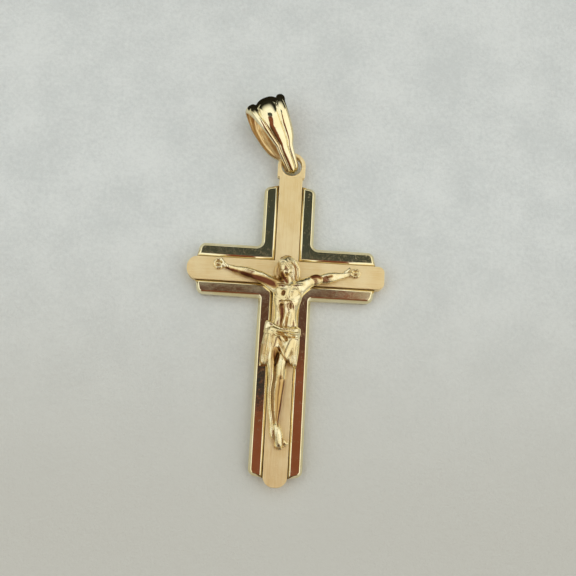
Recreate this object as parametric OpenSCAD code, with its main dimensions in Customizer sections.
// Crucifix pendant. A satin band cross runs between four polished borders with bevelled
// edges, a cast corpus is pinned on the band, and a fluted bail swings in the eye.
// Millimetres. The pendant lies on its back: +Z is up and +Y runs to the head of the cross.
// The origin is on the back plane, under the centre of the crossing.

/* [Cross] */
// Width of the satin band
band_w = 2.2; // [1.9:0.05:2.6]
// Width of an arm over its two polished borders
arm_w = 4.9; // [4.2:0.1:6.4]
// Thickness from the back plane to the polished border tops
border_t = 1.2; // [1:0.05:2]
// Height of the band's satin face above the border tops
band_proud = 0.05; // [0.02:0.01:0.2]
// Reach of the band's side ends from the crossing's centre
band_side = 9.3; // [9:0.1:14]
// Reach of the band's foot from the crossing's centre
band_foot = 19.7; // [19.3:0.1:28]
// Radius that rounds the corners of the band's left end and foot
band_end_r = 1; // [0.3:0.05:1.05]
// Radius that rounds the corners of the band's right end
band_right_r = 0.6; // [0.3:0.05:1.05]
// Reach of the side borders along the band
border_side = 8.45; // [6:0.05:8.7]
// Reach of the upper borders towards the head
border_head = 8.55; // [6:0.05:8.9]
// Reach of the lower borders towards the foot
border_foot = 18.9; // [14:0.1:19.1]
// How far a border's end falls back at its outer edge
border_slant = 0.26; // [0:0.02:0.6]
// Radius of a border's outer corner
border_corner_r = 0.62; // [0.3:0.02:0.9]
// Radius in the two corners above the side arms
upper_inside_r = 0.5; // [0.1:0.05:1]
// Radius in the two corners below the side arms
lower_inside_r = 0.15; // [0.1:0.05:1]
// Width of the bevel along every edge of a border
bevel_w = 0.24; // [0.1:0.02:0.28]
// Depth of that bevel, and of the groove beside the band
bevel_h = 0.3; // [0.1:0.02:0.5]

/* [Eye] */
// Distance of the eye's centre from the crossing's centre
eye_y = 10.5; // [10.45:0.05:12]
// Radius of the hole that the bail hangs in
eye_hole_r = 0.98; // [0.92:0.01:1.05]
// Width of the metal round the hole
eye_rim = 0.35; // [0.3:0.01:0.38]
// Height of the eye's underside above the back plane, which leaves room for the bail
eye_lift = 0.5; // [0.45:0.01:0.6]

/* [Bail] */
// Length from the tip to the top
bail_len = 7.7; // [6.5:0.1:10]
// Depth from front to back near the top
bail_depth = 3.7; // [3.2:0.1:4.6]
// Length of the rounded top, from its highest point to its end
bail_crown = 2.25; // [1.85:0.05:2.3]
// Width at the top
bail_top_w = 3.9; // [2.6:0.1:4.6]
// Width where the bail passes the eye
bail_eye_w = 1.4; // [1.2:0.02:1.44]
// Outer radius of the turn at the tip
bail_tip_r = 0.7; // [0.66:0.01:0.74]
// How far the back leg reaches out to the left past the front leg's line
back_leg_extra = 0.4; // [0:0.05:0.6]
// How far the front leg bends to the right below the top
front_leg_bend = 0.2; // [0:0.01:0.22]
// Thickness of the fluted sheet
bail_wall = 0.26; // [0.22:0.01:0.28]
// Height of a flute at the top
flute_h = 0.3; // [0.08:0.01:0.35]
// How far the bail leans round the eye from the head of the cross, in degrees
bail_lean = 27; // [0:1:30]
// Distance from the bail's tip to the middle of the eye's rim
tip_drop = 1.8; // [1.76:0.01:1.82]

/* [Corpus] */
// Height of the figure from its feet to the top of its head
figure_h = 17.8; // [16:0.1:18.6]
// Span of the figure from fingertip to fingertip
figure_span = 14.3; // [12:0.1:16]
// How far the figure stands above the band
figure_relief = 1.75; // [1.2:0.05:2.4]
// Height of the top of the head above the crossing's centre
head_rise = 1.4; // [0.8:0.1:2.5]
// Radius of the two pegs that hold the figure
peg_r = 0.3; // [0.2:0.01:0.4]
// Length of a peg below the band's face
peg_len = 0.6; // [0.3:0.05:0.7]
// Clearance round a peg and under its end
peg_gap = 0.02; // [0.01:0.01:0.05]

/* [Hidden] */

band_half = band_w / 2;
arm_half = arm_w / 2;
band_top = border_t + band_proud;
groove_floor = border_t - bevel_h;
// The foot of each groove wall runs on into the band by this much
groove_root = 0.15;
band_chamfer = 0.05;
eye_outer_r = eye_hole_r + eye_rim;
rim_mid_r = eye_hole_r + eye_rim / 2;
// Width of the broken edge round the rim
rim_break = 0.1;
// The eye's straight shoulders reach this far below its centre
shoulder_drop = 0.95;
// The band stops short of the hole by this much
neck_gap = 0.12;
neck_y = eye_y - eye_hole_r - neck_gap;
arc_steps = 6;

function unit(v) = v / norm(v);
function inward(p, q) = let (e = unit(q - p)) [-e[1], e[0]];
function xy(row) = [row[0], row[1]];

// Corner i of a counter-clockwise outline after each of its two edges has moved inwards by
// its own amount. Row: x, y, corner radius, 1 where the edge that starts here is a groove's.
function moved_corner(rows, i, edge_in, groove_in) =
    let (
        n = len(rows), p = xy(rows[(i + n - 1) % n]), v = xy(rows[i]), q = xy(rows[(i + 1) % n]),
        a = inward(p, v), b = inward(v, q), c = a * b,
        da = rows[(i + n - 1) % n][3] == 1 ? groove_in : edge_in,
        db = rows[i][3] == 1 ? groove_in : edge_in
    )
    v + (da * (a - c * b) + db * (b - c * a)) / (1 - c * c);

// The outline's points, with each corner that has a radius turned into an arc
function outline(rows, edge_in = 0, groove_in = 0) =
    let (n = len(rows), corners = [for (i = [0:n - 1]) moved_corner(rows, i, edge_in, groove_in)])
    [for (i = [0:n - 1])
        let (
            v = corners[i], to_p = unit(corners[(i + n - 1) % n] - v), to_q = unit(corners[(i + 1) % n] - v),
            turns_left = to_p[0] * to_q[1] - to_p[1] * to_q[0] < 0,
            r = turns_left ? max(rows[i][2] - edge_in, 0.04) : rows[i][2] + edge_in,
            open = acos(to_p * to_q),
            hub = v + unit(to_p + to_q) * r / sin(open / 2),
            start = v + to_p * r / tan(open / 2) - hub,
            sweep = (turns_left ? 1 : -1) * (180 - open)
        )
        each rows[i][2] == 0 ? [v] :
            [for (k = [0:arc_steps])
                let (t = sweep * k / arc_steps)
                hub + [start[0] * cos(t) - start[1] * sin(t), start[0] * sin(t) + start[1] * cos(t)]]];

// A closed solid through outlines of equal length. Level: z, points. An outline starts at
// a corner from which all of it can be seen.
module stack(levels) {
    n = len(levels[0][1]);
    last = len(levels) - 1;
    points = [for (level = levels) each [for (p = level[1]) [p[0], p[1], level[0]]]];
    sides = [for (i = [0:last - 1]) each [for (j = [0:n - 1])
        [i * n + j, (i + 1) * n + j, (i + 1) * n + (j + 1) % n, i * n + (j + 1) % n]]];
    polyhedron(points, concat(
        [[for (j = [0:n - 1]) j]],
        sides,
        [[for (j = [0:n - 1]) last * n + (n - j) % n]]));
}

// One straight bar of the satin band, chamfered round its face. Its rows are those of outline().
module band_bar(rows) {
    stack([
        [0, outline(rows)],
        [band_top - band_chamfer, outline(rows)],
        [band_top, outline(rows, band_chamfer)]]);
}

module satin_band() {
    band_bar([
        [band_side, -band_half, band_right_r, 0], [band_side, band_half, band_right_r, 0],
        [-band_side, band_half, band_end_r, 0], [-band_side, -band_half, band_end_r, 0]]);
    band_bar([
        [band_half, -band_foot, band_end_r, 0], [band_half, neck_y, 0, 0],
        [-band_half, neck_y, 0, 0], [-band_half, -band_foot, band_end_r, 0]]);
}

// One polished border, bent round a corner of the crossing: it runs to side_end along a
// side arm and to long_end along the upper or lower arm
module polished_border(side_end, long_end, inside_r) {
    rows = [
        [band_half, band_half, 0, 1],
        [side_end, band_half, 0, 0],
        [side_end - border_slant, arm_half, border_corner_r, 0],
        [arm_half, arm_half, inside_r, 0],
        [arm_half, long_end - border_slant, border_corner_r, 0],
        [band_half, long_end, 0, 1]];
    root_drop = groove_root * bevel_h / bevel_w;
    stack([
        [0, outline(rows, 0, -groove_root)],
        [groove_floor - root_drop, outline(rows, 0, -groove_root)],
        [groove_floor, outline(rows, 0, 0)],
        [border_t, outline(rows, bevel_w, bevel_w)]]);
}

// The rounded head of the band, thinner than the rest: a rim with broken edges round the
// hole for the bail, and the shoulders that carry it down to the band
module eye() {
    rim_h = band_top - eye_lift;
    shoulder_r = 0.25;
    shoulder_w = 2 * eye_outer_r;
    translate([0, eye_y, eye_lift]) {
        rotate_extrude($fn = 64)
            polygon([
                [eye_hole_r, rim_break], [eye_hole_r + rim_break, 0],
                [eye_outer_r - rim_break, 0], [eye_outer_r, rim_break],
                [eye_outer_r, rim_h - rim_break], [eye_outer_r - rim_break, rim_h],
                [eye_hole_r + rim_break, rim_h], [eye_hole_r, rim_h - rim_break]]);
        linear_extrude(rim_h)
            difference() {
                union() {
                    translate([-shoulder_w / 2, -shoulder_drop])
                        square([shoulder_w, shoulder_drop]);
                    for (side = [-1, 1])
                        translate([side * (eye_outer_r - shoulder_r), -shoulder_drop])
                            circle(shoulder_r, $fn = 32);
                    translate([shoulder_r - eye_outer_r, -shoulder_drop - shoulder_r])
                        square([shoulder_w - 2 * shoulder_r, 2 * shoulder_r]);
                }
                circle(rim_mid_r, $fn = 64);
            }
    }
}

// Where the two pegs sit on the figure. Row: across, up, both in thousandths of its height.
// Up is counted from the top of the head.
peg_places = [[12, -220], [-20, -845]];
// A peg runs up into the figure by this much
peg_root = 0.3;

module at_pegs() {
    for (place = peg_places)
        translate([place[0] * figure_h / 1000, head_rise + place[1] * figure_h / 1000, 0])
            children();
}

module cross() {
    color([0.83, 0.68, 0.44])
        difference() {
            union() {
                satin_band();
                for (side = [0, 1])
                    mirror([side, 0, 0]) {
                        polished_border(border_side, border_head, upper_inside_r);
                        mirror([0, 1, 0])
                            polished_border(border_side, border_foot, lower_inside_r);
                    }
                eye();
            }
            at_pegs()
                translate([0, 0, band_top - peg_len - peg_gap])
                    cylinder(h = 2 * peg_len, r = peg_r + peg_gap, $fn = 48);
        }
}

// The figure. A joint row: across, up, out, radius. Across is a share of half the span on
// the arms and of the height elsewhere; up and radius are shares of the height, in
// thousandths; out is a share of the relief. Up is counted from the top of the head.
// Each limb is a chain of joints.
head_chain = [[4, -46, 0.56, 42], [2, -90, 0.6, 31]];
hair_chains = [
    [[-8, -40, 0.5, 36], [-30, -74, 0.42, 20], [-36, -112, 0.36, 15]],
    [[16, -40, 0.5, 36], [36, -78, 0.42, 21], [42, -122, 0.36, 17]]];
beard_chain = [[4, -112, 0.62, 22], [8, -134, 0.56, 13]];
neck_chain = [[10, -120, 0.38, 27], [20, -168, 0.34, 33]];
trunk_chains = [
    [[-26, -172, 0.36, 38], [-24, -228, 0.38, 35], [-20, -300, 0.28, 31], [-22, -372, 0.3, 35]],
    [[64, -160, 0.36, 38], [48, -220, 0.38, 35], [36, -296, 0.28, 33], [36, -372, 0.32, 37]],
    [[20, -186, 0.42, 42], [12, -240, 0.42, 41], [8, -316, 0.3, 40]]];
arm_chains = [
    [[-90, -166, 0.34, 36], [-180, -146, 0.32, 32], [-280, -120, 0.26, 26], [-390, -106, 0.22, 27],
        [-500, -98, 0.19, 25], [-600, -89, 0.17, 22], [-710, -78, 0.15, 16], [-810, -63, 0.13, 14]],
    [[170, -162, 0.36, 37], [240, -146, 0.32, 33], [330, -123, 0.27, 27], [430, -111, 0.22, 26],
        [525, -102, 0.19, 23], [620, -91, 0.18, 24], [710, -84, 0.15, 18], [810, -74, 0.13, 14]]];
hand_chains = [
    [[-850, -56, 0.13, 19], [-900, -49, 0.1, 26]],
    [[845, -68, 0.13, 18], [890, -63, 0.1, 25]]];
// The out share and the extra radius where a finger leaves the palm, and the out share of its end
finger_root = [0.12, 2];
finger_out = 0.11;
// Row: across, up and radius of a finger's end
finger_ends = [
    [[-860, -20, 9], [-975, -30, 9], [-1000, -50, 9], [-970, -77, 9]],
    [[835, -37, 9], [970, -40, 9], [1000, -57, 9], [965, -83, 9]]];
leg_chains = [
    [[-34, -440, 0.34, 38], [-51, -535, 0.42, 27], [-48, -612, 0.48, 21], [-47, -700, 0.36, 19],
        [-42, -776, 0.3, 16], [-28, -860, 0.24, 13], [-28, -905, 0.22, 14]],
    [[40, -440, 0.36, 38], [12, -535, 0.5, 31], [-2, -608, 0.56, 27], [-4, -690, 0.42, 24],
        [-10, -760, 0.4, 20], [-12, -840, 0.38, 14], [-5, -892, 0.38, 15]]];
foot_chains = [
    [[-28, -905, 0.22, 14], [-25, -955, 0.14, 12]],
    [[-22, -925, 0.16, 13], [14, -930, 0.16, 13], [36, -964, 0.12, 11]],
    [[-5, -892, 0.38, 15], [7, -948, 0.3, 17], [14, -984, 0.16, 14]]];
cloth_chains = [
    [[-54, -398, 0.34, 31], [-60, -414, 0.34, 31], [-73, -487, 0.32, 29], [-79, -550, 0.28, 25]],
    [[58, -398, 0.34, 31], [54, -410, 0.36, 31], [60, -490, 0.36, 27], [60, -548, 0.32, 19]],
    [[-52, -402, 0.36, 34], [4, -412, 0.42, 40], [58, -402, 0.36, 32]],
    [[-4, -422, 0.42, 41], [24, -488, 0.44, 34], [38, -530, 0.42, 24]],
    [[-84, -392, 0.32, 15], [-73, -368, 0.38, 18], [-60, -388, 0.44, 16]]];
fold_chains = [
    [[-89, -392, 0.46, 10], [-17, -401, 0.7, 11], [71, -392, 0.5, 9]],
    [[-67, -407, 0.55, 10], [5, -430, 0.74, 12], [74, -442, 0.5, 10]],
    [[-57, -416, 0.55, 10], [7, -471, 0.72, 12], [60, -497, 0.56, 10]],
    [[-45, -441, 0.55, 10], [-6, -497, 0.66, 11], [37, -540, 0.6, 10]],
    [[-80, -394, 0.38, 15], [-94, -488, 0.32, 17], [-98, -562, 0.24, 17]],
    [[-70, -402, 0.46, 10], [-78, -490, 0.42, 11], [-80, -560, 0.32, 10]]];

function figure_point(row, across) = [
    row[0] * across / 1000,
    head_rise + row[1] * figure_h / 1000,
    band_top + row[2] * figure_relief];

// Spheres hull together. Thin forms take fewer sides than broad ones.
module chain(rows, across = figure_h, sides = 14) {
    for (i = [0:len(rows) - 2])
        hull()
            for (row = [rows[i], rows[i + 1]])
                translate(figure_point(row, across))
                    sphere(row[3] * figure_h / 1000, $fn = sides);
}

module hands() {
    half_span = figure_span / 2;
    for (rows = hand_chains)
        chain(rows, half_span, 12);
    for (i = [0, 1], tip = finger_ends[i])
        chain([
            concat(xy(hand_chains[i][1]), finger_root + [0, tip[2]]),
            [tip[0], tip[1], finger_out, tip[2]]], half_span, 8);
}

module corpus() {
    reach = 40;
    color([0.86, 0.66, 0.3])
        union() {
            difference() {
                union() {
                    for (rows = [head_chain, beard_chain, neck_chain])
                        chain(rows);
                    for (rows = concat(hair_chains, trunk_chains, leg_chains, foot_chains))
                        chain(rows);
                    for (rows = arm_chains)
                        chain(rows, figure_span / 2);
                    hands();
                    for (rows = cloth_chains)
                        chain(rows);
                    for (rows = fold_chains)
                        chain(rows, figure_h, 10);
                }
                translate([-reach, -reach, band_top - 2 * reach])
                    cube(2 * reach);
            }
            at_pegs()
                translate([0, 0, band_top - peg_len])
                    cylinder(h = peg_len + peg_root, r = peg_r, $fn = 48);
        }
}

// The bail's side view is a drop: a small circle at the tip, half an ellipse at the top,
// and two straight legs that touch both. The back leg lies on the back plane.
top_r = bail_depth / 2;
tip_hub = [bail_tip_r, bail_tip_r];
top_hub = [bail_len - bail_crown, top_r];

function ray(a) = [cos(a), sin(a)];
// Point of the top ellipse whose surface faces along a ray at that angle
function top_point(a) =
    let (x = bail_crown * cos(a), y = top_r * sin(a))
    top_hub + [bail_crown * x, top_r * y] / norm([x, y]);
// The angle at which one line touches the tip circle and the top ellipse, found by halving
function front_angle(low, high, turns) =
    let (middle = (low + high) / 2, lead = (top_point(middle) - tip_hub) * ray(middle) - bail_tip_r)
    turns == 0 ? middle
    : lead > 0 ? front_angle(middle, high, turns - 1)
    : front_angle(low, middle, turns - 1);
front = front_angle(90, 180, 24);
tip_steps = 8;
top_steps = 10;
leg_steps = 6;

// Row: place along the bail from its tip and height, outward direction
drop_path =
    let (front_a = tip_hub + bail_tip_r * ray(front), front_b = top_point(front), back = top_point(-90))
    [
        for (i = [0:tip_steps])
            let (a = 270 + (front - 270) * i / tip_steps) [tip_hub + bail_tip_r * ray(a), ray(a)],
        for (i = [1:leg_steps - 1])
            [front_a + (front_b - front_a) * i / leg_steps, ray(front)],
        for (i = [0:top_steps])
            let (a = front + (-90 - front) * i / top_steps) [top_point(a), ray(a)],
        for (i = [1:leg_steps - 1])
            [[back[0] + (tip_hub[0] - back[0]) * i / leg_steps, 0], [0, -1]]
    ];

// Widths along the bail. Row: share of the length, share of the way from the width at the
// eye to the width at the top, shares of the back leg's extra width and of the front leg's
// bend, and how far the flutes drift to the left, as a share of half the width.
width_rows = [
    [0, -0.2, 0, 0, 0.15], [0.05, -0.06, 0, 0, 0.15], [0.13, -0.01, 0, 0, 0.15],
    [0.22, 0.03, 0, 0, 0.18], [0.3, 0.1, 0.7, 0.2, 0.22], [0.38, 0.28, 1, 0.7, 0.25],
    [0.48, 0.46, 1, 0.5, 0.26], [0.66, 0.68, 0.9, -0.2, 0.2], [0.85, 0.87, 0.5, -0.4, 0.08],
    [1, 1.06, 0, 0, -0.12]];

function along_bail(t, column) =
    lookup(t / bail_len, [for (row = width_rows) [row[0], row[column]]]);
function bail_width(t, out_z) =
    bail_eye_w + (bail_top_w - bail_eye_w) * along_bail(t, 1)
    + back_leg_extra * along_bail(t, 2) * max(0, -out_z);
function bail_middle(t, out_z) =
    front_leg_bend * along_bail(t, 3) * max(0, out_z)
    - back_leg_extra / 2 * along_bail(t, 2) * max(0, -out_z);

// Flutes across the sheet: a broad one in the middle and one on each side of it.
// v runs from -1 to 1 across the width.
middle_flute = 0.53;
// A flute at the tip would keep this share of its height
flute_rest = 0.1;
// The sheet's side edges bend towards the inside by this much at the top, and at the tip
edge_sag = 0.28;
tip_sag = 0.16;
// The tip's sag fades out over this share of the length. As far as that the inside is
// smooth, and over as much again it takes on the flutes.
tip_reach = 0.25;
// Section of a flute from valley to valley, with a broad top
function crest(across) = 1 - pow(abs(across), 3);
function flute(v) = abs(v) < middle_flute
    ? crest(v / middle_flute)
    : 0.85 * crest(2 * (abs(v) - middle_flute) / (1 - middle_flute) - 1);
flute_rows = [-1, -0.88, -0.76, -0.66, -0.56, -0.42, -0.27, -0.1, 0.08, 0.24, 0.36, 0.46, 0.58, 0.72, 0.87, 1];

// One ring of the bail's surface: across the outside, then back across the inside
function bail_ring(row) =
    let (
        p = row[0], out = row[1], share = p[0] / bail_len, half = bail_width(p[0], out[1]) / 2,
        size = 2 * half / bail_top_w, ridge = flute_h * (flute_rest + (1 - flute_rest) * size),
        sag = edge_sag * size * size * (1 + out[1]) / 2 + tip_sag * max(0, 1 - share / tip_reach),
        drift = along_bail(p[0], 4),
        follow = min(1, max(0, share / tip_reach - 1)),
        depth = function(v) ridge * (1 - flute(v + drift * (1 - v * v))) + sag * v * v,
        inside = function(v) bail_wall + follow * depth(v) + (1 - follow) * tip_sag * v * v,
        middle = bail_middle(p[0], out[1]),
        at = function(v, d) [
            middle + half * v,
            p[0] - tip_drop - out[0] * d,
            p[1] - out[1] * d]
    )
    concat(
        [for (v = flute_rows) at(v, depth(v))],
        [for (i = [len(flute_rows) - 1:-1:0]) at(flute_rows[i], inside(flute_rows[i]))]);

module bail() {
    rings = [for (row = drop_path) bail_ring(row)];
    n = len(rings[0]);
    count = len(rings);
    color([0.86, 0.7, 0.36])
        translate([0, eye_y, 0])
            rotate(bail_lean)
                translate([0, rim_mid_r, 0])
                    polyhedron(
                        [for (ring = rings) each ring],
                        [for (i = [0:count - 1]) each [for (j = [0:n - 1])
                            [i * n + j, ((i + 1) % count) * n + j,
                                ((i + 1) % count) * n + (j + 1) % n, i * n + (j + 1) % n]]]);
}

cross();
corpus();
bail();
